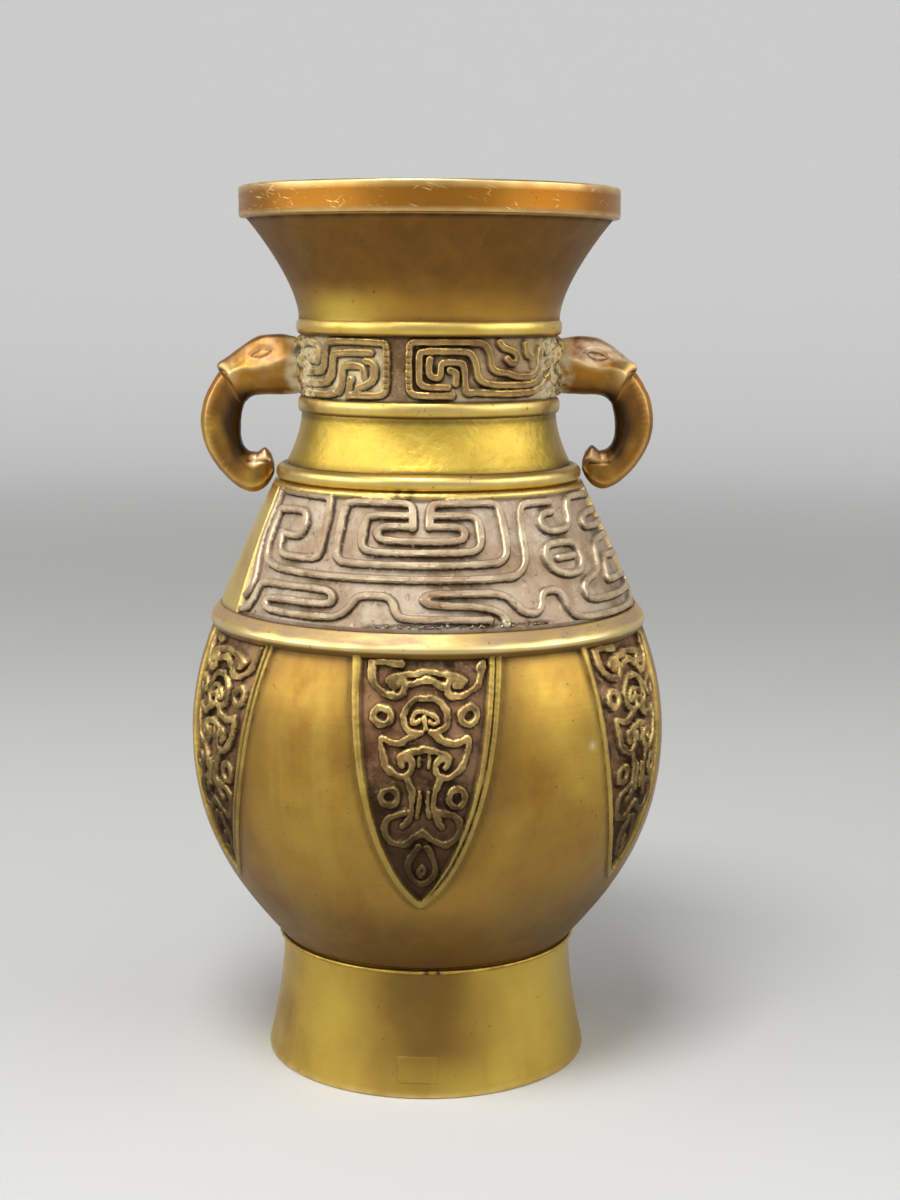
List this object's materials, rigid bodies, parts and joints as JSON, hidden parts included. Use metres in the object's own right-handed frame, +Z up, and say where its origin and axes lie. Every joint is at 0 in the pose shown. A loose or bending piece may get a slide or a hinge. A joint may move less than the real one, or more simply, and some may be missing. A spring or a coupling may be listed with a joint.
{
  "type": "elephant vase",
  "caption": "Cast bronze flower vase: spreading foot, round belly with pointed lappets, fret-relief shoulder and neck, flaring mouth, and elephant-head handles on the neck.",
  "frame": {"origin": "centre of the foot on the surface it stands on", "axes": "+Z up along the vase's axis; the handles lie along X; the front, with a lappet and the foot patch, faces -Y"},
  "size_m": [0.1314, 0.1322, 0.24],
  "materials": {
    "cast_bronze": "polished golden bronze with brown patina",
    "relief_bronze": "dark brown ground with worn golden crests",
    "ring_brass": "bright worn brass",
    "handle_bronze": "reddish brown bronze, satin",
    "solder": "dull grey-green crust",
    "plate_bronze": "dark unpolished bronze"
  },
  "bodies": {
    "root": {"mouth_section": "cast_bronze", "neck_ring_upper": "ring_brass", "neck_section": "relief_bronze", "neck_ring_lower": "ring_brass", "shoulder_ring": "ring_brass", "shoulder_section": "relief_bronze", "girdle_ring": "ring_brass", "belly_section": "cast_bronze", "foot_solder_ring": "solder", "foot_ring": "cast_bronze", "foot_patch": "cast_bronze", "base_plate": "plate_bronze", "base_solder_ring": "solder", "elephant_handle_left": "handle_bronze", "elephant_handle_right": "handle_bronze", "handle_solder_left": "solder", "handle_solder_right": "solder"}
  },
  "joints": []
}
